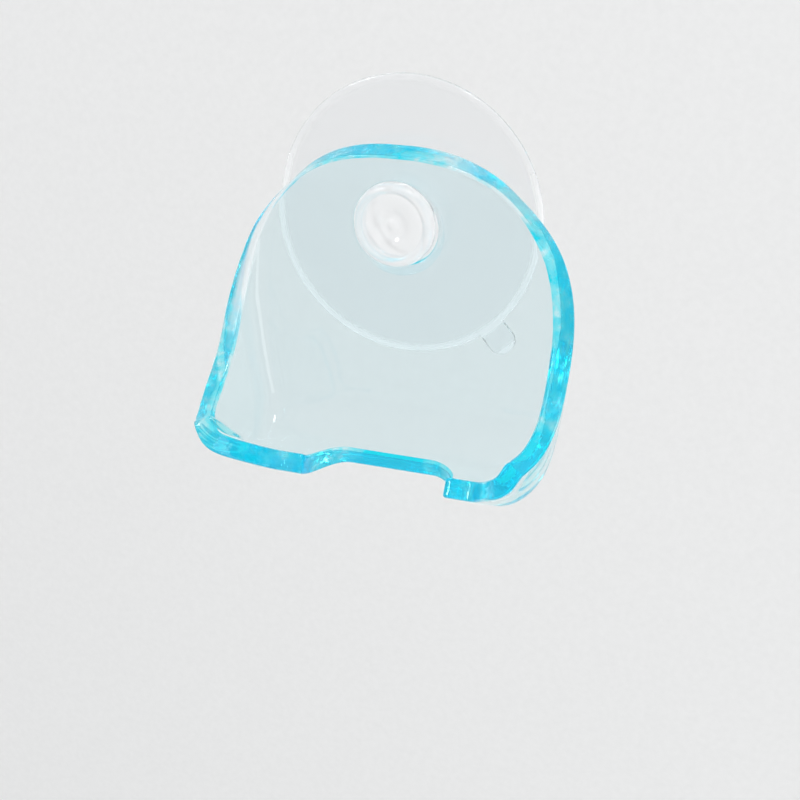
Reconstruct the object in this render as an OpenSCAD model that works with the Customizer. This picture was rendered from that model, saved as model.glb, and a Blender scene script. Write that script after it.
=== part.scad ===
// Wall holder with a suction cup: a clear, leaning tray plate that hangs on the neck of a
// one-piece suction cup. Origin: centre of the cup on the wall plane. +Z up, +Y into the wall.

/* [Plate] */
// Thickness of the clear sheet
sheet = 3.2; // [2.4:0.1:4]
// Half width of the inner face at its widest
half_width = 26.8; // [25:0.2:32]
// Height of the inner top edge above the neck axis, along the plate
top_height = 10.8; // [10:0.2:14]
// Height of the bend axis of the trough below the neck axis, along the plate
trough_drop = 30.8; // [28:0.2:38]
// Share of the panel's height that belongs to the arched top
arch_share = 0.72; // [0.5:0.02:0.85]
// Squareness of the arch: 2 is an ellipse
arch_power = 2.4; // [2:0.1:3]
// How far the top edge curls forward
top_curl = 1.6; // [0:0.2:2]
// Height of the forward curl at the top edge
top_curl_height = 6.4; // [5:0.2:7]
// Lean of the plate from the wall: the top stands off
lean = 1.5; // [0:0.25:1.75]
// Depth of the panel's back face in front of the wall, at the neck axis
back_depth = 1.8; // [1.7:0.1:3]
// Width of the bevel around the front of the hole
hole_bevel = 1.2; // [0.6:0.1:1.4]

/* [Edge curl] */
// Length over which the curl of the side rims grows to its full angle
curl_length = 26; // [22:1:34]
// Full angle of the curl
curl_angle = 80; // [60:1:86]
// Inner radius of the curl
curl_radius = 1.8; // [1.2:0.2:3.4]
// Distance below the neck axis at which the side wings start to come forward
wing_start = 3; // [2:0.2:10]
// How early the wings come forward along the trough
wing_ease = 2.7; // [2:0.1:3.2]

/* [Trough] */
// Inner radius of the trough
trough_radius = 7.6; // [6.8:0.1:9]
// Angle of the front ramp above the horizontal of the plate
ramp_angle = 33; // [26:1:42]
// Length of the front ramp at the horns
ramp_length = 11.2; // [9:0.1:13]
// Height of the side wall above the ramp at a horn
horn_rise = 2.3; // [1.8:0.1:3]
// Half width of the inner face at the horns
horn_half_width = 24.7; // [23:0.1:26]
// Angle of the curl at the tip of a horn
horn_angle = 60; // [50:1:80]
// Half width of the low middle of the ramp
lip_half_width = 16.4; // [15:0.2:18]
// Length of the ramp at its low middle
lip_length = 0.6; // [0.4:0.1:2]
// Half width of the notch
notch_half_width = 12.2; // [10:0.2:14]
// Depth of the notch's closed end in front of the panel
notch_back = 5.5; // [4.5:0.5:7]
// Corner radius of the notch's closed end
notch_round = 5; // [3:0.5:6]

/* [Suction cup] */
// Diameter of the cup
cup_d = 45; // [42:0.5:46]
// Thickness of the cup's rim
rim_thickness = 0.8; // [0.6:0.1:0.8]
// Diameter of the neck that the plate hangs on
neck_d = 10; // [9:0.2:10.6]
// Width by which the head is larger than the plate's hole all round
head_cover = 0.5; // [0.4:0.1:1]
// Thickness of the head
head_thickness = 2.2; // [1.8:0.1:3]
// Length of the pull tab past the cup's rim
tab_length = 4.5; // [3:0.5:5]
// Width of the pull tab
tab_width = 4.6; // [4:0.2:7]
// Direction of the pull tab, from straight down towards the right
tab_turn = 41; // [0:1:80]

/* [Fits] */
// How much wider than the neck the plate's hole is
hole_clearance = 2.6; // [2:0.1:3.2]
// Gap between the top of the neck and the top of the hole, in the middle of the sheet
hang_gap = 0.3; // [0.25:0.05:0.6]
// Gap between the back of the head and the panel
head_gap = 0.3; // [0.2:0.05:0.6]
// Gap between the cup and the back of the panel, beside the neck
cup_gap = 0.5; // [0.4:0.1:0.6]

/* [Hidden] */
$fn = 96;

hole_r = (neck_d + hole_clearance) / 2;
hole_drop = hole_r - neck_d / 2 - hang_gap;
front_depth = back_depth + sheet / cos(lean);
head_r = hole_r + head_cover;
collar_r = neck_d / 2 + 2.5;
collar_top = back_depth - (collar_r + 1) * tan(lean) - cup_gap;
arch_height = arch_share * (top_height + trough_drop);
arch_base = top_height - arch_height;

// Spine of the inner face: panel with a curled top, trough arc, front ramp, by length from the top edge
panel_len = top_height + trough_drop;
arc_len = trough_radius * (90 + ramp_angle) * PI / 180;
full_len = panel_len + arc_len + ramp_length;
wing_len = top_height + wing_start;
foot = [trough_radius * (1 + sin(ramp_angle)), -trough_drop - trough_radius * cos(ramp_angle)];
ramp_dir = [cos(ramp_angle), sin(ramp_angle)];
function arc_turn(s) = (s - panel_len) / trough_radius * 180 / PI;
function forward(s) = top_curl * pow(max(1 - s / top_curl_height, 0), 2);
head_back = front_depth + head_r * tan(lean) + forward(top_height - head_r) + head_gap;
function spine(s) =
  s <= panel_len ? [forward(s), top_height - s] :
  s < panel_len + arc_len ? [
    trough_radius * (1 - cos(arc_turn(s))),
    -trough_drop - trough_radius * sin(arc_turn(s))
  ] :
  foot + (s - panel_len - arc_len) * ramp_dir;

// Direction out of the back of the sheet, in the same plane as the spine
function unit(v) = v / norm(v);
function out(s) =
  s <= panel_len ? unit([-1, 2 * top_curl / top_curl_height * max(1 - s / top_curl_height, 0)]) :
  let (t = min(arc_turn(s), 90 + ramp_angle)) [-cos(t), -sin(t)];

function ease(a) = let (c = min(max(a, 0), 1)) c * c * (3 - 2 * c);
function curl(s) = max(curl_angle * ease(s / curl_length), 0.6)
  - (curl_angle - horn_angle) * ease((wing(s) - 0.6) / 0.4);
function bend_r(a) = max(curl_radius, 1 / sin(a));
function wing(s) = min(max((s - wing_len) / (full_len - wing_len), 0), 1);
function arch(z) = z <= arch_base ? 1 :
  pow(max(1 - pow((z - arch_base) / arch_height, arch_power), 0), 1 / arch_power);

// Path of the side rim, seen from the side: a quarter of an ellipse that ends at the horn
horn_tip = spine(full_len) + horn_rise * [cos(120), sin(120)];
function rim_rise(s) = let (a = curl(min(s, curl_length))) bend_r(a) * (1 - cos(a));
function lead(w) = 0.75 * (1 - pow(1 - w, wing_ease)) + 0.25 * w;
function rim(w, s) = let (b = 90 * lead(w)) [
  horn_tip[0] - (horn_tip[0] - rim_rise(s)) * cos(b),
  -wing_start - (-wing_start - horn_tip[1]) * sin(b)
];

// One half section: flat floor, bend of curl_radius, straight wall.
// Column k gives a point of the inner face and the direction out of the sheet's other face
FLOOR = 9;
BEND = 9;
function section(s) =
  let (
    c = spine(s),
    n = out(s),
    w = wing(s),
    v = w <= 0 ? [rim_rise(s), 0] : rim(w, s) - c,
    h = norm(v),
    a = curl(s),
    r = min(bend_r(a), h / (1 - cos(a))),
    wall = max((h - r * (1 - cos(a))) / sin(a), 0),
    half = half_width * arch(w <= 0 ? c[1] : rim(w, s)[1])
      - (half_width - horn_half_width) * ease((w - 0.35) / 0.65),
    floor_w = half - r * sin(a) - wall * cos(a),
    bend_len = r * a * PI / 180
  )
  [for (k = [0 : FLOOR + BEND])
    let (
      q = k <= FLOOR ? 0 : (k - FLOOR) / BEND * (bend_len + wall),
      t = min(q, bend_len) / r * 180 / PI,
      u = max(q - bend_len, 0),
      x = k <= FLOOR ? floor_w * k / FLOOR : floor_w + r * sin(t) + u * cos(a),
      y = k <= FLOOR ? 0 : r * (1 - cos(t)) + u * sin(a)
    )
    [
      [x, -(c[0] + v[0] / h * y), c[1] + v[1] / h * y],
      [sin(t), -cos(t) * n[0], cos(t) * n[1]]
    ]
  ];

ARCH_ROWS = 24;
SIDE_ROWS = 8;
TURN_ROWS = 18;
RAMP_ROWS = 8;
stations = concat(
  [for (i = [0 : ARCH_ROWS]) arch_height * (1 - cos(2 + 88 * i / ARCH_ROWS))],
  [for (i = [1 : SIDE_ROWS]) arch_height + (panel_len - arch_height) * i / SIDE_ROWS],
  [for (i = [1 : TURN_ROWS]) panel_len + arc_len * i / TURN_ROWS],
  [for (i = [1 : RAMP_ROWS]) full_len - ramp_length * (1 - i / RAMP_ROWS)]
);
ROWS = len(stations);
COLS = 2 * (FLOOR + BEND) + 1;
rows = [for (s = stations) let (half = section(s)) [for (k = [1 - COLS : 2 : COLS - 1])
  let (p = half[abs(k) / 2], m = [k < 0 ? -1 : 1, 1, 1])
  [[m[0] * p[0][0], p[0][1], p[0][2]], [m[0] * p[1][0], p[1][1], p[1][2]]]]];

module sheet_body() {
  points = concat(
    [for (row = rows) for (p = row) p[0]],
    [for (row = rows) for (p = row) p[0] + sheet * p[1]]
  );
  far = ROWS * COLS;
  function at(i, k) = i * COLS + k;
  faces = concat(
    [for (i = [0 : ROWS - 2]) for (k = [0 : COLS - 2]) each [
      [at(i, k), at(i, k + 1), at(i + 1, k + 1)],
      [at(i, k), at(i + 1, k + 1), at(i + 1, k)],
      [far + at(i, k), far + at(i + 1, k + 1), far + at(i, k + 1)],
      [far + at(i, k), far + at(i + 1, k), far + at(i + 1, k + 1)]
    ]],
    [for (k = [0 : COLS - 2]) each [
      [at(0, k), far + at(0, k + 1), at(0, k + 1)],
      [at(0, k), far + at(0, k), far + at(0, k + 1)],
      [at(ROWS - 1, k), at(ROWS - 1, k + 1), far + at(ROWS - 1, k + 1)],
      [at(ROWS - 1, k), far + at(ROWS - 1, k + 1), far + at(ROWS - 1, k)]
    ]],
    [for (i = [0 : ROWS - 2]) each [
      [at(i, 0), at(i + 1, 0), far + at(i + 1, 0)],
      [at(i, 0), far + at(i + 1, 0), far + at(i, 0)],
      [at(i, COLS - 1), far + at(i + 1, COLS - 1), at(i + 1, COLS - 1)],
      [at(i, COLS - 1), far + at(i, COLS - 1), far + at(i + 1, COLS - 1)]
    ]]
  );
  polyhedron(points, faces, convexity = 8);
}

// Everything beyond the front edge of the ramp: low in the middle, rising to the horns
function edge(x) = lip_length
  + (ramp_length - lip_length) * ease((abs(x) - lip_half_width) / (horn_half_width - lip_half_width));
module front_cut() {
  translate([0, -foot[0], foot[1]])
    rotate([180 - ramp_angle, 0, 0])
      translate([0, 0, -8])
        linear_extrude(16)
          polygon(concat(
            [for (i = [-24 : 24]) let (x = horn_half_width * i / 24) [x, edge(x)]],
            [[horn_half_width, ramp_length + 9], [-horn_half_width, ramp_length + 9]]
          ));
}

// The notch between the lips, open to the front
module notch_cut() {
  depth = 40;
  translate([0, 0, -trough_drop - 3 * trough_radius])
    for (side = [-1, 1]) {
      translate([side * (notch_half_width - notch_round), -notch_back - notch_round, 0])
        cylinder(r = notch_round, h = 2 * trough_radius + 10);
      translate([side > 0 ? -0.01 : -notch_half_width, -depth, 0])
        cube([notch_half_width + 0.01, depth - notch_back - notch_round, 2 * trough_radius + 10]);
      translate([side > 0 ? -0.01 : notch_round - notch_half_width, -depth, 0])
        cube([notch_half_width - notch_round + 0.01, depth - notch_back, 2 * trough_radius + 10]);
    }
}

module holder() {
  color([0.8, 0.95, 0.98, 0.4])
    translate([0, -front_depth, 0])
      rotate([lean, 0, 0])
        difference() {
          sheet_body();
          translate([0, sheet + 2, -hole_drop])
            rotate([90, 0, 0])
              cylinder(r = hole_r, h = sheet + 4);
          translate([0, hole_bevel, -hole_drop])
            rotate([90, 0, 0])
              cylinder(r1 = hole_r, r2 = hole_r + hole_bevel + 1, h = hole_bevel + 1);
          front_cut();
          notch_cut();
        }
}

// Pull tab on the cup's rim
module pull_tab() {
  root = 1.2;
  flat_len = tab_length - tab_width / 2;
  rotate([0, 0, -90 + tab_turn])
    translate([cup_d / 2 - root, 0, 0]) {
      translate([0, -tab_width / 2, 0])
        cube([root + flat_len, tab_width, rim_thickness]);
      translate([root + flat_len, 0, 0])
        cylinder(d = tab_width, h = rim_thickness);
    }
}

// One moulding: cup pressed flat on the wall, neck and a dished head
module suction_cup() {
  r = cup_d / 2;
  neck_r = neck_d / 2;
  head_front = head_back + head_thickness;
  dish_r = 0.55 * head_r;
  color([0.9, 0.93, 0.94, 0.6])
    rotate([90, 0, 0]) {
      rotate_extrude()
        polygon(concat(
          [[0, 0], [r, 0], [r, 0.6 * rim_thickness], [r - 0.4 * rim_thickness, rim_thickness]],
          [[r - 2, rim_thickness], [collar_r + 1, collar_top - 0.2], [collar_r, collar_top]],
          [[neck_r, collar_top], [neck_r, head_back]],
          [[head_r - 0.3, head_back], [head_r, head_back + 0.3]],
          [for (t = [0 : 4]) [
            head_r - 1.2 * (1 - cos(t * 22.5)),
            head_front - 1.2 + 1.2 * sin(t * 22.5)
          ]],
          [for (t = [0 : 3]) [
            dish_r * cos(t * 30),
            head_front - 0.7 * sin(t * 30)
          ]]
        ));
      pull_tab();
    }
}

suction_cup();
holder();
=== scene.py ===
"""Looks for a clear razor holder that hangs on the neck of a soft suction cup, on a pale wall.

Metres, in the CAD frame: +X right, +Y into the wall, +Z up, origin at the cup's centre on the wall.
"""
import math

import bpy
import numpy as np
from mathutils import Matrix, Vector
from mathutils.geometry import delaunay_2d_cdt


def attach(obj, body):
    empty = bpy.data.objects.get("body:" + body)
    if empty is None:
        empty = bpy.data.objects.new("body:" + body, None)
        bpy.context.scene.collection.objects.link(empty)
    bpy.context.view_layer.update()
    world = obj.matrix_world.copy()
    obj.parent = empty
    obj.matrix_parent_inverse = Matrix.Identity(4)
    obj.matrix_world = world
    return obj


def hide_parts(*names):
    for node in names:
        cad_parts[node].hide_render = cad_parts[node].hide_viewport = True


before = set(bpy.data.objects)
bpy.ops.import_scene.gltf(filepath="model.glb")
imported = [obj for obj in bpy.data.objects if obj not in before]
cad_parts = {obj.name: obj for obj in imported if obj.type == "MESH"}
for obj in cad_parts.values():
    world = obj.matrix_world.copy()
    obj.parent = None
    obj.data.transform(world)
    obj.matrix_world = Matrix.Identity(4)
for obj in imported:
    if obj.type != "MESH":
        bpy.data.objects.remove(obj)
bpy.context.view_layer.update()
bpy.ops.object.select_all(action="DESELECT")

MM = 0.001

# Colours in sRGB, as seen
SHEET_TINT = "#F9FBFD"
DEPTH_TINT = "#00FBFF"
EDGE_DEEP = "#00E0FF"
EDGE_TINT = "#66EFFF"
EDGE_PALE = "#F0FCFF"
# Painted reflection: the whitish gleam of the bright room on the rim's upper left
EDGE_REFLECTION = "#F4F8FA"
VINYL_TINT = "#FBFCFD"
WALL_DARKER = "#E8E8E8"
WALL_LIGHTER = "#EFEFEF"
FLOOR_PAINT = "#DADBDA"
ROOM_TINT = "#FBFCFD"

# Helpers for node trees


def linear(hex_colour):
    """An sRGB hex colour as the linear RGBA that the shaders take."""
    parts = [int(hex_colour[i:i + 2], 16) / 255 for i in (1, 3, 5)]
    return [c / 12.92 if c <= 0.04045 else ((c + 0.055) / 1.055) ** 2.4 for c in parts] + [1.0]


def add(tree, kind, settings=None, **inputs):
    """Adds a node. settings are its properties, and inputs are constants or sockets to link.

    An input is given by its name, with _ for a space, or by its place, such as i_2 for input 2.
    """
    node = tree.nodes.new(kind)
    for key, value in (settings or {}).items():
        setattr(node, key, value)
    for key, value in inputs.items():
        name = int(key[2:]) if key.startswith("i_") else key.replace("_", " ")
        if isinstance(value, bpy.types.NodeSocket):
            tree.links.new(value, node.inputs[name])
        else:
            node.inputs[name].default_value = value
    return node


def new_material(name):
    """An empty material and its node tree."""
    material = bpy.data.materials.new(name)
    material.use_nodes = True
    material.node_tree.nodes.clear()
    return material, material.node_tree


def object_coords(tree):
    return add(tree, "ShaderNodeTexCoord").outputs["Object"]


def separate(tree, vector):
    """The outputs X, Y and Z of a vector."""
    return add(tree, "ShaderNodeSeparateXYZ", Vector=vector).outputs


def attribute(tree, name):
    return add(tree, "ShaderNodeAttribute", {"attribute_name": name}).outputs["Fac"]


def calculate(tree, operation, *values):
    """The result of one operation on numbers or sockets."""
    inputs = {f"i_{i}": value for i, value in enumerate(values)}
    return add(tree, "ShaderNodeMath", {"operation": operation}, **inputs).outputs[0]


def remap(tree, value, span, onto=(0.0, 1.0)):
    """The value, stretched from one span onto another and held inside it."""
    node = add(tree, "ShaderNodeMapRange", Value=value, From_Min=span[0], From_Max=span[1],
               To_Min=onto[0], To_Max=onto[1])
    return node.outputs["Result"]


def blend(tree, share, first, second):
    """A colour between the first, where share is 0, and the second, where it is 1."""
    return add(tree, "ShaderNodeMix", {"data_type": "RGBA"}, i_0=share, i_6=first, i_7=second).outputs[2]


def noise(tree, coords, scale, detail, **more):
    return add(tree, "ShaderNodeTexNoise", Vector=coords, Scale=scale, Detail=detail, **more).outputs["Fac"]


def bump(tree, height, strength, distance, **more):
    node = add(tree, "ShaderNodeBump", Height=height, Strength=strength, Distance=distance, **more)
    return node.outputs["Normal"]


# The plate's material

ACRYLIC_IOR = 1.49
ACRYLIC_DENSITY = 33.0
SHEET_ROUGHNESS = (0.0, 0.03)
EDGE_ROUGHNESS = 0.06
# Shares of the light that the rim scatters, plain and where a whitish reflection is painted on it
EDGE_HAZE = 0.25
REFLECTION_HAZE = 0.65
# Lowest and highest point of the rim in metres, and what they add to the patches of the rim's colour
RIM_HEIGHTS = (-0.042, 0.012)
RIM_LEVELS = (-0.11, 0.09)
SPECKLE_SHARE = 0.45
# Where the sum of the patches and the level gives the deep, the middle and the pale colour
DEEP_AT = 0.63
TINT_AT = 0.75
PALE_AT = 0.88
# Where a whitish reflection is painted on the rim: to the left and upwards in metres, and forwards in shares
# of the sheet's thickness
REFLECTION_LEFT = (-0.012, -0.020)
REFLECTION_HIGH = (-0.024, -0.014)
REFLECTION_FRONT = (0.75, 0.45)


def painted_reflection_share(tree, place):
    """From 0 to 1, how much painted reflection whitens the rim: high on the left, but for a cyan line at its
    back.
    """
    left = remap(tree, place["X"], REFLECTION_LEFT)
    high = remap(tree, place["Z"], REFLECTION_HIGH)
    front = remap(tree, attribute(tree, "deep"), REFLECTION_FRONT)
    return calculate(tree, "MULTIPLY", calculate(tree, "MULTIPLY", left, high), front)


def rim_colour(tree, coords, place, speckle, painted_reflection):
    """Cyan in patches, deeper low down, where more light comes out, paler at the crown, and whitened by a
    painted reflection.
    """
    # Slow change along the rim, some 12 mm long
    slow = noise(tree, coords, scale=85.0, detail=2.0)
    patches = calculate(tree, "MULTIPLY_ADD", speckle, SPECKLE_SHARE, slow)
    level = remap(tree, place["Z"], RIM_HEIGHTS, RIM_LEVELS)
    ramp = add(tree, "ShaderNodeValToRGB", Fac=calculate(tree, "ADD", patches, level))
    stops = ramp.color_ramp.elements
    stops[0].position, stops[0].color = DEEP_AT, linear(EDGE_DEEP)
    stops[1].position, stops[1].color = TINT_AT, linear(EDGE_TINT)
    stops.new(PALE_AT).color = linear(EDGE_PALE)
    return blend(tree, painted_reflection, ramp.outputs["Color"], linear(EDGE_REFLECTION))


def clear_acrylic():
    """Injection-moulded acrylic, polished: almost colourless through its side, cyan along its length.

    The rim and the hole are less polished, and light that has run along the sheet leaves it there. Of the
    mesh's attributes, edge says how much of that a face has, and deep how far behind the front a point is.
    """
    material, tree = new_material("moulded_clear_acrylic")
    coords = object_coords(tree)
    place = separate(tree, coords)
    at_edge = attribute(tree, "edge")

    # Faint flow waves from moulding, some 9 mm long
    flow = noise(tree, coords, scale=110.0, detail=2.0)
    # Fine wiping marks, a fraction of a millimetre
    fine = noise(tree, coords, scale=1400.0, detail=2.0)
    # Speckle of light leaving the edge, about 1 mm
    speckle = noise(tree, coords, scale=700.0, detail=3.0, Roughness=0.6)
    waves = bump(tree, flow, strength=0.05, distance=0.001)
    height = calculate(tree, "MULTIPLY", speckle, at_edge)
    grain = bump(tree, height, strength=0.12, distance=0.0006, Normal=waves)

    gloss = remap(tree, fine, (0.35, 0.75), SHEET_ROUGHNESS)
    rough = add(tree, "ShaderNodeMix", i_0=at_edge, i_2=gloss, i_3=EDGE_ROUGHNESS)
    # Painted reflection: the rim's upper left is made whitish and scatters more, standing in for the room
    # reflected there
    painted_reflection = painted_reflection_share(tree, place)
    tint = blend(tree, at_edge, linear(SHEET_TINT), rim_colour(tree, coords, place, speckle, painted_reflection))
    haze = remap(tree, painted_reflection, (0.0, 1.0), (EDGE_HAZE, REFLECTION_HAZE))
    clear = calculate(tree, "SUBTRACT", 1.0, calculate(tree, "MULTIPLY", haze, at_edge))
    shader = add(tree, "ShaderNodeBsdfPrincipled", Base_Color=tint, IOR=ACRYLIC_IOR,
                 Transmission_Weight=clear, Roughness=rough.outputs[0], Normal=grain)
    # In 50 mm it takes four fifths of the red, little of the green and no blue
    depth = add(tree, "ShaderNodeVolumeAbsorption", Color=linear(DEPTH_TINT), Density=ACRYLIC_DENSITY)
    add(tree, "ShaderNodeOutputMaterial", Surface=shader.outputs[0], Volume=depth.outputs[0])
    return material


# The cup's material

VINYL_IOR = 1.45
VINYL_ROUGHNESS = (0.06, 0.14)
# Shares of the light that go through the head and the rest, and that the bead scatters above and low down
HEAD_CLEAR = (0.55, 0.97)
BEAD_HAZE = (0.12, 0.45)
# How much of the bead there is beside the tab and on it
BEAD_AT_TAB = (1.0, 0.1)
# In metres: along Y the back of the head, then radii at the bead and at both ends of the tab, then heights
# between which the bead gets milkier downwards
HEAD_BACK = (-0.0066, -0.0052)
BEAD = (0.0212, 0.0218)
TAB_ROOT = (0.0226, 0.0230)
TAB_END = (0.0259, 0.0264)
LOW_DOWN = (0.012, 0.002)


def bead_haze(tree, coords, place):
    """The share of light that the bead round the cup's rim and the end of the tab scatter."""
    flat = add(tree, "ShaderNodeVectorMath", {"operation": "MULTIPLY"}, i_0=coords, i_1=(1, 0, 1))
    length = add(tree, "ShaderNodeVectorMath", {"operation": "LENGTH"}, i_0=flat.outputs[0])
    radius = length.outputs["Value"]
    bead = remap(tree, radius, BEAD)
    off_tab = remap(tree, radius, TAB_ROOT, BEAD_AT_TAB)
    thick = calculate(tree, "MULTIPLY_ADD", bead, off_tab, remap(tree, radius, TAB_END))
    haze = remap(tree, place["Z"], LOW_DOWN, BEAD_HAZE)
    return calculate(tree, "MULTIPLY", thick, haze)


def soft_vinyl():
    """Soft clear PVC: a little milky, with faint turned rings from its mould."""
    material, tree = new_material("soft_clear_vinyl")
    coords = object_coords(tree)
    place = separate(tree, coords)
    cloud = noise(tree, coords, scale=240.0, detail=3.0)
    rough = remap(tree, cloud, (0.3, 0.7), VINYL_ROUGHNESS)
    # Turning marks of the mould, 2.4 mm apart
    rings = add(tree, "ShaderNodeTexWave", {"wave_type": "RINGS", "rings_direction": "Y"}, Vector=coords,
                Scale=130.0, Distortion=0.4)
    height = calculate(tree, "MULTIPLY_ADD", rings.outputs["Fac"], 0.5, cloud)
    marks = bump(tree, height, strength=0.05, distance=0.0006)
    # The thick head scatters more light than the thin cup
    head = remap(tree, place["Y"], HEAD_BACK, HEAD_CLEAR)
    beside_bead = calculate(tree, "SUBTRACT", 1.0, bead_haze(tree, coords, place))
    clear = calculate(tree, "MULTIPLY", head, beside_bead)
    shader = add(tree, "ShaderNodeBsdfPrincipled", Base_Color=linear(VINYL_TINT), IOR=VINYL_IOR,
                 Transmission_Weight=clear, Roughness=rough, Normal=marks)
    add(tree, "ShaderNodeOutputMaterial", Surface=shader.outputs[0])
    return material


# The room's materials


def wall_paint():
    """Matt wall paint with a roller's faint unevenness, seen from the room side only."""
    material, tree = new_material("matt_wall_paint")
    roller = noise(tree, object_coords(tree), scale=900.0, detail=4.0)
    tone = blend(tree, roller, linear(WALL_DARKER), linear(WALL_LIGHTER))
    uneven = bump(tree, roller, strength=0.05, distance=0.0004)
    shader = add(tree, "ShaderNodeBsdfPrincipled", Base_Color=tone, Roughness=0.8, Normal=uneven)
    clear = add(tree, "ShaderNodeBsdfTransparent")
    side = add(tree, "ShaderNodeNewGeometry")
    mix = add(tree, "ShaderNodeMixShader", i_0=side.outputs["Backfacing"], i_1=shader.outputs[0],
              i_2=clear.outputs[0])
    add(tree, "ShaderNodeOutputMaterial", Surface=mix.outputs[0])
    return material


def floor_paint():
    material, tree = new_material("pale_floor")
    shader = add(tree, "ShaderNodeBsdfPrincipled", Base_Color=linear(FLOOR_PAINT), Roughness=0.7)
    add(tree, "ShaderNodeOutputMaterial", Surface=shader.outputs[0])
    return material


# The clear plate

# No primitive or edit tool gives an even-thickness sheet with a curl that grows along its rim, so its two
# faces are worked out point by point, from the same sizes in mm as the part's source, and then skinned.
# A point of the sheet is its distance across, from the middle line, and its distance s along, from the top.

SHEET = 3.2
HALF_WIDTH = 26.8
TOP = 10.8
DROP = 30.8
ARCH_SHARE = 0.72
ARCH_POWER = 2.4
TOP_CURL = 1.6
TOP_CURL_HEIGHT = 6.4
LEAN = math.radians(1.5)
BACK_DEPTH = 1.8
CURL_LENGTH = 26.0
CURL_RADIUS = 1.8
LEAST_BEND_WIDTH = 1.0
WING_START = 3.0
WING_EASE = 2.7
WING_LEAD = 0.75
TROUGH = 7.6
RAMP_ANGLE = math.radians(33)
RAMP_LENGTH = 11.2
HORN_RISE = 2.3
HORN_RISE_ANGLE = math.radians(120)
HORN_HALF_WIDTH = 24.7
LIP_HALF_WIDTH = 16.4
LIP_LENGTH = 0.6
NOTCH_HALF_WIDTH = 12.2
NOTCH_BACK = 5.5
NOTCH_ROUND = 5.0
HOLE_R = 6.3
HOLE_DROP = 1.0
HOLE_BEVEL = 1.2

# The curl's angle in degrees at its least, along the sides and at the horns
LEAST_CURL = 0.6
CURL_ANGLE = 80.0
HORN_ANGLE = 60.0
# Shares of the wing's length from which the curl opens and the width narrows towards the horns
OPENING_START = 0.6
TAPER_START = 0.35

PANEL_LENGTH = TOP + DROP
ARC_LENGTH = TROUGH * (math.pi / 2 + RAMP_ANGLE)
FULL_LENGTH = PANEL_LENGTH + ARC_LENGTH + RAMP_LENGTH
WING_LENGTH = TOP + WING_START
ARCH_HEIGHT = ARCH_SHARE * PANEL_LENGTH
ARCH_BASE = TOP - ARCH_HEIGHT
FRONT_DEPTH = BACK_DEPTH + SHEET / math.cos(LEAN)
HOLE_AT = np.array([0.0, TOP + HOLE_DROP])
# The rest are pairs of depth and height
RAMP = np.array([math.cos(RAMP_ANGLE), math.sin(RAMP_ANGLE)])
FOOT = np.array([TROUGH * (1 + math.sin(RAMP_ANGLE)), -DROP - TROUGH * math.cos(RAMP_ANGLE)])
HORN_WAY = np.array([math.cos(HORN_RISE_ANGLE), math.sin(HORN_RISE_ANGLE)])
HORN_TIP = FOOT + RAMP_LENGTH * RAMP + HORN_RISE * HORN_WAY


def ease(share):
    """From 0 to 1 with a soft start and end."""
    held = np.clip(share, 0, 1)
    return held * held * (3 - 2 * held)


def spine(s):
    """Depth and height of the sheet's middle line on its inner face, and the direction out of its back."""
    turn = np.clip((s - PANEL_LENGTH) / TROUGH, 0, math.pi / 2 + RAMP_ANGLE)
    curl = np.maximum(1 - s / TOP_CURL_HEIGHT, 0)
    on_ramp = np.maximum(s - PANEL_LENGTH - ARC_LENGTH, 0)
    depth = TOP_CURL * curl ** 2 + TROUGH * (1 - np.cos(turn)) + on_ramp * RAMP[0]
    height = np.where(s <= PANEL_LENGTH, TOP - s, -DROP) - TROUGH * np.sin(turn) + on_ramp * RAMP[1]
    slope = 2 * TOP_CURL / TOP_CURL_HEIGHT * curl
    size = np.sqrt(1 + slope ** 2)
    out_depth = np.where(s <= PANEL_LENGTH, -1 / size, -np.cos(turn))
    out_height = np.where(s <= PANEL_LENGTH, slope / size, -np.sin(turn))
    return depth, height, out_depth, out_height


def wing(s):
    """How far along the wing s is, from 0 at its start on the side to 1 at the horn."""
    return np.clip((s - WING_LENGTH) / (FULL_LENGTH - WING_LENGTH), 0, 1)


def curl_at(s):
    """The angle, in radians, that the side has curled through."""
    grown = np.maximum(CURL_ANGLE * ease(s / CURL_LENGTH), LEAST_CURL)
    opened = ease((wing(s) - OPENING_START) / (1 - OPENING_START))
    return np.radians(grown - (CURL_ANGLE - HORN_ANGLE) * opened)


def bend_radius(angle):
    return np.maximum(CURL_RADIUS, LEAST_BEND_WIDTH / np.sin(angle))


def cross_section(s):
    """Half the section at s: floor width, bend radius, its angle, wall length, and the way the rim rises."""
    depth, height, _, _ = spine(s)
    share = wing(s)
    angle = curl_at(s)
    early = curl_at(np.minimum(s, CURL_LENGTH))
    rise = bend_radius(early) * (1 - np.cos(early))
    lead = WING_LEAD * (1 - (1 - share) ** WING_EASE) + (1 - WING_LEAD) * share
    quarter = lead * math.pi / 2
    rim_depth = np.where(share <= 0, depth + rise, HORN_TIP[0] - (HORN_TIP[0] - rise) * np.cos(quarter))
    rim_height = np.where(share <= 0, height, -WING_START - (-WING_START - HORN_TIP[1]) * np.sin(quarter))
    more_depth, more_height = rim_depth - depth, rim_height - height
    reach = np.hypot(more_depth, more_height)
    radius = np.minimum(bend_radius(angle), reach / (1 - np.cos(angle)))
    wall = np.maximum((reach - radius * (1 - np.cos(angle))) / np.sin(angle), 0)
    up_arch = np.clip((rim_height - ARCH_BASE) / ARCH_HEIGHT, 0, 1)
    half = HALF_WIDTH * (1 - up_arch ** ARCH_POWER) ** (1 / ARCH_POWER)
    half = half - (HALF_WIDTH - HORN_HALF_WIDTH) * ease((share - TAPER_START) / (1 - TAPER_START))
    floor = np.maximum(half - radius * np.sin(angle) - wall * np.cos(angle), 0)
    return floor, radius, angle, wall, more_depth / reach, more_height / reach


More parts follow.
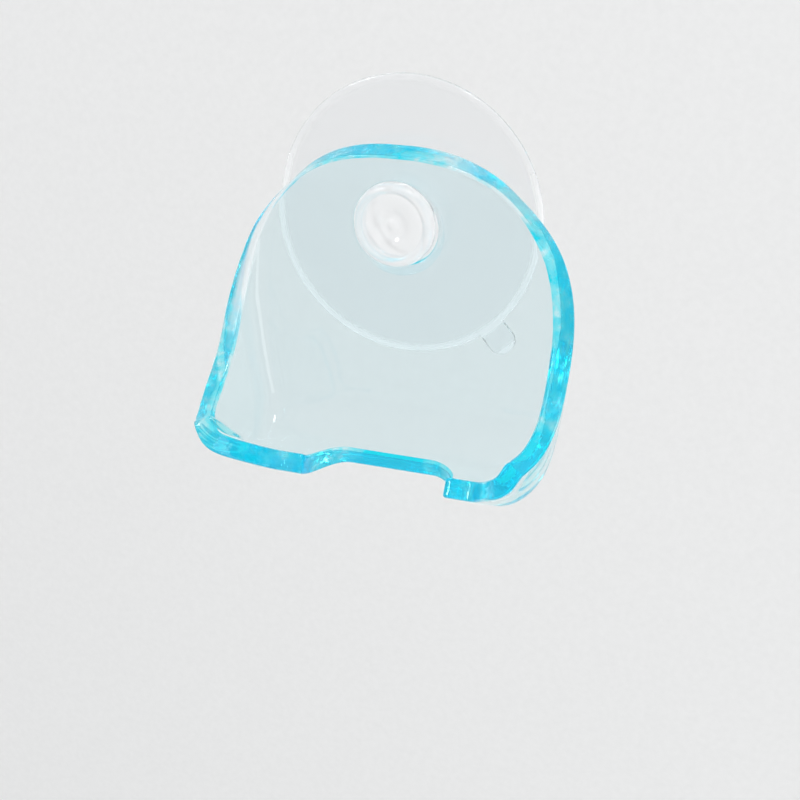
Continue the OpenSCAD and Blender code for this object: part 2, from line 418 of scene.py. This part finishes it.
def face_point(p):
    """Real points of the inner face, and the directions out of the back, for p = (across, along) rows."""
    across, s = p[:, 0], p[:, 1]
    floor, radius, angle, wall, way_depth, way_height = cross_section(s)
    depth, height, out_depth, out_height = spine(s)
    past = np.maximum(np.abs(across) - floor, 0)
    turn = np.minimum(past, radius * angle) / radius
    up_wall = np.maximum(past - radius * angle, 0)
    side = np.where(across < 0, -1.0, 1.0)
    x = np.minimum(np.abs(across), floor) + radius * np.sin(turn) + up_wall * np.cos(angle)
    risen = radius * (1 - np.cos(turn)) + up_wall * np.sin(angle)
    points = np.stack([side * x, -(depth + way_depth * risen), height + way_height * risen], axis=1)
    out = np.stack([side * np.sin(turn), -np.cos(turn) * out_depth, np.cos(turn) * out_height], axis=1)
    return points, out


def side_length(s):
    """How far across the sheet goes at s, from its middle line to its rim."""
    floor, radius, angle, wall, _, _ = cross_section(s)
    return floor + radius * angle + wall


def front_edge(x):
    """How far up the ramp the front edge is: a lip beside the notch, rising to the horn."""
    share = (np.abs(x) - LIP_HALF_WIDTH) / (HORN_HALF_WIDTH - LIP_HALF_WIDTH)
    return LIP_LENGTH + (RAMP_LENGTH - LIP_LENGTH) * ease(share)


def run_along(p):
    """For each point of the polyline p, its distance from the start on the real surface."""
    real, _ = face_point(p)
    return np.concatenate([[0], np.cumsum(np.linalg.norm(np.diff(real, axis=0), axis=1))])


def spaced(p, gap):
    """The polyline p again, with its points an even gap apart on the real surface."""
    run = run_along(p)
    count = max(int(round(run[-1] / gap)), 2)
    at = np.linspace(0, run[-1], count + 1)
    return np.stack([np.interp(at, run, p[:, k]) for k in (0, 1)], axis=1)


def rounded(before, after, size):
    """Joins two polylines that meet in a corner by a curve that starts and ends size mm from it."""
    end = len(before) - np.searchsorted(run_along(before[::-1]), size)
    start = np.searchsorted(run_along(after), size)
    t = np.linspace(0, 1, CORNER_POINTS)[1:-1, None]
    curve = (1 - t) ** 2 * before[end - 1] + 2 * t * (1 - t) * before[-1] + t ** 2 * after[start]
    return np.concatenate([before[:end], curve, after[start:]])


# Sizes in mm and counts for the outline of the two faces, and the power that crowds points at the top
TOP_MARGIN = 0.02
CROWN_POINTS = 5
SIDE_POINTS = 4000
SIDE_CROWDING = 2.2
FRONT_POINTS = 400
HALVINGS = 40
NOTCH_POINTS = 60
NOTCH_CORNER_POINTS = 40
CORNER_POINTS = 24
HORN_CORNER = 0.9
LIP_CORNER = 1.0
RIM_GAP = 0.5


def side_line():
    """From the crown's middle along the rim to the front, as (across, along) rows, closest at the top."""
    s = np.maximum(FULL_LENGTH * np.linspace(0, 1, SIDE_POINTS) ** SIDE_CROWDING, TOP_MARGIN)
    side = np.stack([side_length(s), s], axis=1)
    crown = np.linspace(0, side[0, 0], CROWN_POINTS + 1)[:-1]
    crown = np.stack([crown, np.full(CROWN_POINTS, s[0])], axis=1)
    return np.concatenate([crown, side[np.concatenate([[True], np.diff(s) > 0])]])


def front_line():
    """From the rim along the front edge to the notch, found by halving, as (across, along) rows."""
    across = np.linspace(side_length(np.array([FULL_LENGTH]))[0], NOTCH_HALF_WIDTH, FRONT_POINTS)
    low = np.full(FRONT_POINTS, PANEL_LENGTH + ARC_LENGTH)
    high = np.full(FRONT_POINTS, FULL_LENGTH)
    for _ in range(HALVINGS):
        middle = (low + high) / 2
        real, _ = face_point(np.stack([across, middle], axis=1))
        up_ramp = (-real[:, 1] - FOOT[0]) * RAMP[0] + (real[:, 2] - FOOT[1]) * RAMP[1]
        ahead = up_ramp > front_edge(real[:, 0])
        low, high = np.where(ahead, low, middle), np.where(ahead, middle, high)
    return np.stack([across, high], axis=1)


def notch_line():
    """From the lip along the notch's side, corner and back to the middle, as (across, along) rows."""
    turn = np.linspace(0, math.pi / 2, NOTCH_CORNER_POINTS)
    straight = np.linspace(FOOT[0] + LIP_LENGTH * RAMP[0], NOTCH_BACK + NOTCH_ROUND, NOTCH_POINTS)[:-1]
    depth = np.concatenate([straight, NOTCH_BACK + NOTCH_ROUND * (1 - np.sin(turn)), [NOTCH_BACK]])
    x = np.concatenate([
        np.full(len(straight), NOTCH_HALF_WIDTH),
        NOTCH_HALF_WIDTH - NOTCH_ROUND * (1 - np.cos(turn)),
        [0.0],
    ])
    on_arc = np.arccos(np.clip(1 - depth / TROUGH, -1, 1)) * TROUGH + PANEL_LENGTH
    on_ramp = PANEL_LENGTH + ARC_LENGTH + (depth - FOOT[0]) / RAMP[0]
    return np.stack([x, np.where(depth < FOOT[0], on_arc, on_ramp)], axis=1)


def outline():
    """The sheet's closed outline, as (across, along) rows: down the right side, then up the left."""
    half = rounded(rounded(side_line(), front_line(), HORN_CORNER), notch_line(), LIP_CORNER)
    half = spaced(half, RIM_GAP)
    left = half[::-1] * [-1, 1]
    return np.concatenate([half, left[1:-1]])


def steps_on_surface(p, size=0.02):
    """How the inner face moves for a step across and a step along."""
    across, along = np.array([size, 0]), np.array([0, size])
    return [(face_point(p + step)[0] - face_point(p - step)[0]) / (2 * size) for step in (across, along)]


def outward(p):
    """On the surface, square to the closed outline p, the direction away from the sheet."""
    real, out = face_point(p)
    tangent = np.roll(real, -1, axis=0) - np.roll(real, 1, axis=0)
    tangent /= np.linalg.norm(tangent, axis=1)[:, None]
    away = np.cross(out, tangent)
    away /= np.linalg.norm(away, axis=1)[:, None]
    widest = np.argmax(p[:, 0])
    return away * np.sign(away[widest, 0])


def moved(p, real_step):
    """The rows p after a real step along the surface: two equations for the steps across and along."""
    across, along = steps_on_surface(p)
    aa, bb, ab = (across * across).sum(1), (along * along).sum(1), (across * along).sum(1)
    sa, sb = (across * real_step).sum(1), (along * real_step).sum(1)
    determinant = aa * bb - ab * ab
    return p + np.stack([(sa * bb - sb * ab) / determinant, (sb * aa - sa * ab) / determinant], axis=1)


def inside(points, loop, margin):
    """Which points lie inside the closed loop, at least margin from it. They are taken in 24 batches."""
    keep = np.zeros(len(points), bool)
    a, b = loop, np.roll(loop, -1, axis=0)
    for batch in np.array_split(np.arange(len(points)), 24):
        q = points[batch][:, None]
        crosses = (a[:, 1] > q[..., 1]) != (b[:, 1] > q[..., 1])
        with np.errstate(divide="ignore", invalid="ignore"):
            at = a[:, 0] + (q[..., 1] - a[:, 1]) * (b[:, 0] - a[:, 0]) / (b[:, 1] - a[:, 1])
        odd = (crosses & (q[..., 0] < at)).sum(1) % 2 == 1
        edge = b - a
        t = np.clip(((q - a) * edge).sum(-1) / (edge * edge).sum(-1), 0, 1)
        far = np.linalg.norm(q - a - t[..., None] * edge, axis=-1).min(1) > margin
        keep[batch] = odd & far
    return keep


# Spacing in mm of the points inside a face, steps round the bend, and margins to the outline and the hole
FIRST_ROW = 0.4
ROW_GAP = 0.5
FLOOR_GAP = 0.9
BEND_STEPS = 8
WALL_GAP = 0.8
OUTLINE_MARGIN = 0.22
HOLE_MARGIN = 0.25


def inner_points():
    """Points spread over the sheet: close together where it bends, wider on the flat."""
    rows = []
    for s in np.arange(FIRST_ROW, FULL_LENGTH, ROW_GAP):
        floor, radius, angle, wall, _, _ = (float(value[0]) for value in cross_section(np.array([s])))
        flat = np.linspace(0, floor, max(int(floor / FLOOR_GAP), 1) + 1)
        bend = floor + radius * angle * np.arange(1, BEND_STEPS + 1) / BEND_STEPS
        steps = int(wall / WALL_GAP)
        side = floor + radius * angle + wall * np.arange(1, steps + 1) / max(steps, 1)
        across = np.concatenate([flat, bend, side])
        both = np.concatenate([-across[:0:-1], across])
        rows.append(np.stack([both, np.full(len(both), s)], axis=1))
    return np.concatenate(rows)


def circle(radius, count=128):
    """A ring of points round the hole's middle."""
    turn = np.arange(count) * 2 * math.pi / count
    return HOLE_AT + radius * np.stack([np.cos(turn), np.sin(turn)], axis=1)


class Skin:
    """Collects the sheet's points and faces."""

    def __init__(self):
        self.points, self.deep, self.faces, self.edge_faces = [], [], [], []

    def put(self, points, deep):
        """Adds points that lie deep mm behind the front face. Returns their numbers."""
        start = sum(len(part) for part in self.points)
        self.points.append(points)
        self.deep += [deep / SHEET] * len(points)
        return np.arange(start, start + len(points))

    def face(self, loop, hole_radius, spread, depth):
        """One face of the sheet. Returns the numbers of the points round its outline and round its hole."""
        hole = circle(hole_radius)
        free = spread[inside(spread, loop, OUTLINE_MARGIN)]
        free = free[np.linalg.norm(free - HOLE_AT, axis=1) > hole_radius + HOLE_MARGIN]
        flat = np.concatenate([loop, hole, free])
        n, m = len(loop), len(hole)
        edges = [(i, (i + 1) % n) for i in range(n)] + [(n + i, n + (i + 1) % m) for i in range(m)]
        found = delaunay_2d_cdt([Vector(p) for p in flat.tolist()], edges, [], 0, 1e-5, True)
        where = np.array([list(v) for v in found[0]])
        triangles = np.array([list(corners) for corners in found[2]])
        middle = where[triangles].mean(1)
        triangles = triangles[inside(middle, loop, 0) & ~inside(middle, hole, 0)]
        real, out = face_point(where)
        index = self.put(real + depth * out, depth)
        self.faces += index[triangles].tolist()
        came = {first: k for k, ids in enumerate(found[3]) for first in ids}
        return index[[came[k] for k in range(n)]], index[[came[n + k] for k in range(m)]]

    def strip(self, rings, cyan):
        """Faces from ring to ring. cyan says how much of the rim's colour they take, from 0 to 1."""
        for a, b in zip(rings, rings[1:]):
            n = len(a)
            for i in range(n):
                self.edge_faces.append((len(self.faces), cyan))
                self.faces.append([int(a[i]), int(a[(i + 1) % n]), int(b[(i + 1) % n]), int(b[i])])


# The rim's rounding in mm, the angles at which its rings lie, and the neighbours that smooth its inset
EDGE_ROUND = 0.45
EDGE_TURNS = np.radians([68, 45, 22, 0])
SMOOTHED_OVER = range(-3, 4)
# How far the faces' holes lie outside the bevel in front and the bore behind, in mm
HOLE_REACH = 0.3
# The hole's rings from front to back, as distance from the bore and depth in mm, and the bevel's last ring
HOLE_PROFILE = [(1.35, 0.03), (1.22, 0.1), (1.1, 0.22), (0.16, 1.12), (0.05, 1.26), (0.0, 1.45),
                (0.0, 2.85), (0.06, 3.05), (0.16, 3.16)]
BEVEL_END = 3
# The bevel shows little of the rim's colour
BEVEL_CYAN = 0.2


def clear_plate():
    """The whole sheet with rounded rims and a bevelled hole, as an object at its place."""
    loop = outline()
    real, out = face_point(loop)
    away = outward(loop)
    inset = moved(loop, -EDGE_ROUND * away) - loop
    ring = loop + sum(np.roll(inset, k, axis=0) for k in SMOOTHED_OVER) / len(SMOOTHED_OVER)
    spread = inner_points()
    skin = Skin()
    front, front_hole = skin.face(ring, HOLE_R + HOLE_BEVEL + HOLE_REACH, spread, 0.0)
    back, back_hole = skin.face(ring, HOLE_R + HOLE_REACH, spread, SHEET)

    profile = []
    for turn in EDGE_TURNS:
        profile.append((-EDGE_ROUND + EDGE_ROUND * math.cos(turn), EDGE_ROUND - EDGE_ROUND * math.sin(turn)))
    profile += [(reach, SHEET - deep) for reach, deep in reversed(profile)]
    rings = [skin.put(real + reach * away + deep * out, deep) for reach, deep in profile]
    skin.strip([front, *rings, back], 1.0)

    rings = []
    for reach, deep in HOLE_PROFILE:
        real, out = face_point(circle(HOLE_R + reach))
        rings.append(skin.put(real + deep * out, deep))
    skin.strip([front_hole, *rings[:BEVEL_END + 1]], BEVEL_CYAN)
    skin.strip([*rings[BEVEL_END:], back_hole], 1.0)

    x, y, z = np.concatenate(skin.points).T
    cosine, sine = math.cos(LEAN), math.sin(LEAN)
    placed = np.stack([x, y * cosine - z * sine - FRONT_DEPTH, y * sine + z * cosine], axis=1) * MM
    mesh = bpy.data.meshes.new("clear_tray_plate")
    mesh.from_pydata(placed.tolist(), [], skin.faces)
    piece = bpy.data.objects.new("clear_tray_plate", mesh)
    bpy.context.scene.collection.objects.link(piece)
    edge = mesh.attributes.new("edge", "FLOAT", "FACE")
    for face, cyan in skin.edge_faces:
        edge.data[face].value = cyan
    mesh.attributes.new("deep", "FLOAT", "POINT").data.foreach_set("value", skin.deep)
    return piece


def only(piece):
    """Makes the piece the only one that is selected, and the active one."""
    bpy.ops.object.select_all(action="DESELECT")
    piece.select_set(True)
    bpy.context.view_layer.objects.active = piece


def apply_transform():
    bpy.ops.object.transform_apply(location=True, rotation=True, scale=True)


def finish_normals(piece):
    """Faces point outwards, everything is smooth, and wide faces keep their own direction."""
    only(piece)
    bpy.ops.object.mode_set(mode="EDIT")
    bpy.ops.mesh.select_all(action="SELECT")
    bpy.ops.mesh.remove_doubles(threshold=0.000001)
    bpy.ops.mesh.normals_make_consistent(inside=False)
    bpy.ops.object.mode_set(mode="OBJECT")
    bpy.ops.object.shade_smooth()
    weighted = piece.modifiers.new("even_normals", "WEIGHTED_NORMAL")
    weighted.mode = "FACE_AREA"
    bpy.ops.object.modifier_apply(modifier=weighted.name)


holder = clear_plate()
holder.data.materials.append(clear_acrylic())
finish_normals(holder)
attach(holder, "plate")
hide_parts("holder")


# The suction cup

# Its outline from the wall outwards, as (radius, depth) in mm: flat back, rim bead, cone, collar, neck, head
CUP_STEPS = [
    (22.3, 0.05), (22.5, 0.22), (22.5, 0.48), (22.36, 0.7), (22.1, 0.79), (21.6, 0.74), (21.1, 0.62),
    (20.4, 0.58), (19.2, 0.6), (16.0, 0.66), (12.0, 0.75), (9.2, 0.84), (8.1, 0.94), (7.6, 1.06),
    (6.0, 1.07), (5.2, 1.1), (5.0, 1.3), (5.0, 3.4), (5.0, 5.4), (5.15, 5.64), (5.5, 5.72),
    (6.3, 5.74), (6.62, 5.84), (6.77, 6.06), (6.8, 6.4), (6.78, 6.8), (6.66, 7.2), (6.45, 7.5),
    (6.15, 7.72), (5.8, 7.84), (5.5, 7.84), (5.3, 7.74), (5.15, 7.66), (4.95, 7.68), (4.7, 7.74),
    (4.2, 7.74), (3.4, 7.66), (2.8, 7.56), (2.4, 7.4), (2.05, 7.2), (1.6, 7.08), (1.15, 7.08),
    (0.85, 7.18), (0.6, 7.32), (0.35, 7.4), (0.15, 7.42),
]
CUP_SIDES = 160
CUP_RADIUS = 22.5
BACK_RADIUS = 22.1
TAB_LENGTH = 5.7
TAB_THICKNESS = 0.76
TAB_WIDTH = 4.6
TAB_CORNER = 2.1
# How far the tab reaches into the cup, and the depth of its middle
TAB_OVERLAP = 1.2
TAB_DEPTH = 0.4
TAB_TURN = math.radians(-49)


def turned_cup():
    """Drawn up ring by ring from a flat disc."""
    bpy.ops.mesh.primitive_circle_add(vertices=CUP_SIDES, radius=BACK_RADIUS * MM, fill_type="NGON",
                                      rotation=(math.pi / 2, 0, 0))
    piece = bpy.context.object
    piece.name = piece.data.name = "soft_suction_cup"
    apply_transform()
    bpy.ops.object.mode_set(mode="EDIT")
    bpy.ops.mesh.select_all(action="SELECT")
    before, at = BACK_RADIUS, 0.0
    for radius, depth in CUP_STEPS:
        bpy.ops.mesh.extrude_region()
        wider = radius / before
        bpy.ops.transform.resize(value=(wider, 1, wider), center_override=(0, -at * MM, 0))
        bpy.ops.transform.translate(value=(0, (at - depth) * MM, 0))
        before, at = radius, depth
    bpy.ops.mesh.select_all(action="SELECT")
    bpy.ops.mesh.normals_make_consistent(inside=False)
    bpy.ops.object.mode_set(mode="OBJECT")
    return piece


def pull_tab():
    """A flat tongue, with its two outer corners rounded, at its place across the cup's rim."""
    bpy.ops.mesh.primitive_cube_add(size=1, location=(0, 0, 0))
    tab = bpy.context.object
    tab.scale = (TAB_LENGTH * MM, TAB_THICKNESS * MM, TAB_WIDTH * MM)
    apply_transform()
    bpy.ops.object.mode_set(mode="EDIT")
    bpy.ops.mesh.select_mode(type="EDGE")
    bpy.ops.mesh.select_all(action="DESELECT")
    bpy.ops.object.mode_set(mode="OBJECT")
    for edge in tab.data.edges:
        a, b = (tab.data.vertices[i].co for i in edge.vertices)
        edge.select = a.x > 0 and b.x > 0 and abs(a.y - b.y) > 0.1 * MM
    bpy.ops.object.mode_set(mode="EDIT")
    bpy.ops.mesh.bevel(offset=TAB_CORNER * MM, segments=10, affect="EDGES")
    bpy.ops.mesh.select_all(action="SELECT")
    middle = CUP_RADIUS - TAB_OVERLAP + TAB_LENGTH / 2
    bpy.ops.transform.translate(value=(middle * MM, -TAB_DEPTH * MM, 0))
    bpy.ops.object.mode_set(mode="OBJECT")
    tab.rotation_euler = (0, -TAB_TURN, 0)
    apply_transform()
    return tab


def suction_cup():
    """The turned cup with its pull tab joined to the rim."""
    piece = turned_cup()
    tab = pull_tab()
    only(piece)
    join = piece.modifiers.new("tab", "BOOLEAN")
    join.operation, join.solver, join.object = "UNION", "EXACT", tab
    bpy.ops.object.modifier_apply(modifier=join.name)
    bpy.data.objects.remove(tab)
    return piece


cup = suction_cup()
cup.data.materials.clear()
cup.data.materials.append(soft_vinyl())
finish_normals(cup)
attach(cup, "cup")
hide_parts("suction_cup")

# Clear plastic this close to the wall hardly shades it
for piece in (holder, cup):
    piece.visible_shadow = piece.visible_diffuse = False

# The wall and the floor, in metres

ROOM_SIZE = 1.6
BEHIND_CUP = 0.0003


def flat_square(name, place, turn, material):
    """A large flat square, which faces up before it is turned about X."""
    bpy.ops.mesh.primitive_plane_add(size=ROOM_SIZE, location=place, rotation=(turn, 0, 0))
    square = bpy.context.object
    square.name = name
    apply_transform()
    square.data.materials.append(material)
    return square


wall = flat_square("wall", (0, BEHIND_CUP, 0.3), math.pi / 2, wall_paint())
floor = flat_square("floor", (0, -0.8, -0.5), 0, floor_paint())

# The light


def soft_box(name, place, size, power):
    """A square area lamp at place, turned towards the cup. Its size is in metres and its power in watts."""
    data = bpy.data.lights.new(name, "AREA")
    data.shape = "SQUARE"
    data.size = size
    data.energy = power
    lamp = bpy.data.objects.new(name, data)
    bpy.context.scene.collection.objects.link(lamp)
    lamp.location = place
    lamp.rotation_euler = (-Vector(place)).to_track_quat("-Z", "Y").to_euler()
    return lamp


soft_box("window_left", (-0.7, -0.8, 0.5), size=0.22, power=2.5)
window_right = soft_box("window_right", (0.75, -0.5, -0.32), size=0.8, power=4.2)
# From behind, the wide window would fill the whole clear sheet with white
window_right.visible_transmission = False
soft_box("ceiling", (0.25, -0.5, 0.95), size=0.22, power=3.0)

# The room's brightness from straight below to straight above
ROOM_STRENGTH = (0.46, 0.66)


def pale_room():
    """Even light from all round, a little brighter above than below."""
    world = bpy.data.worlds.new("room_light")
    world.use_nodes = True
    tree = world.node_tree
    tree.nodes.clear()
    way = separate(tree, add(tree, "ShaderNodeTexCoord").outputs["Generated"])
    strength = remap(tree, way["Z"], (-1.0, 1.0), ROOM_STRENGTH)
    room = add(tree, "ShaderNodeBackground", Color=linear(ROOM_TINT), Strength=strength)
    add(tree, "ShaderNodeOutputWorld", Surface=room.outputs[0])
    return world


bpy.context.scene.world = pale_room()

# The photo's camera, fitted to the cup's rim and the plate's outline

TURN = math.radians(22.11)
LIFT = math.radians(21.84)
ROLL = math.radians(-0.38)
AIM = Vector((-1.90, 0.0, -32.29)) * MM
DISTANCE = 252.8 * MM
SENSOR_WIDTH = 36.0
LENS = 67.5
NEAREST = 0.01


def photo_camera():
    """A camera that looks at AIM from above and from the right."""
    back = Vector((math.sin(TURN) * math.cos(LIFT), -math.cos(TURN) * math.cos(LIFT), math.sin(LIFT)))
    right = Vector((math.cos(TURN), math.sin(TURN), 0.0))
    up = right.cross(-back)
    turned_right = right * math.cos(ROLL) + up * math.sin(ROLL)
    turned_up = up * math.cos(ROLL) - right * math.sin(ROLL)
    data = bpy.data.cameras.new("camera")
    data.sensor_width = SENSOR_WIDTH
    data.lens = LENS
    data.clip_start = NEAREST
    camera = bpy.data.objects.new("camera", data)
    turned = Matrix((turned_right, turned_up, back)).transposed().to_4x4()
    camera.matrix_world = Matrix.Translation(AIM + back * DISTANCE) @ turned
    bpy.context.scene.collection.objects.link(camera)
    return camera


bpy.context.scene.camera = photo_camera()

# Light runs a long way inside the sheet before it comes out at an edge
BOUNCES = 32
cycles = bpy.context.scene.cycles
cycles.max_bounces = BOUNCES
cycles.transmission_bounces = BOUNCES
cycles.glossy_bounces = BOUNCES
# The pieces let lamps through to the wall already, so light that they bend onto it would count twice
cycles.caustics_refractive = False
cycles.caustics_reflective = False

bpy.context.scene.view_settings.view_transform = "Standard"
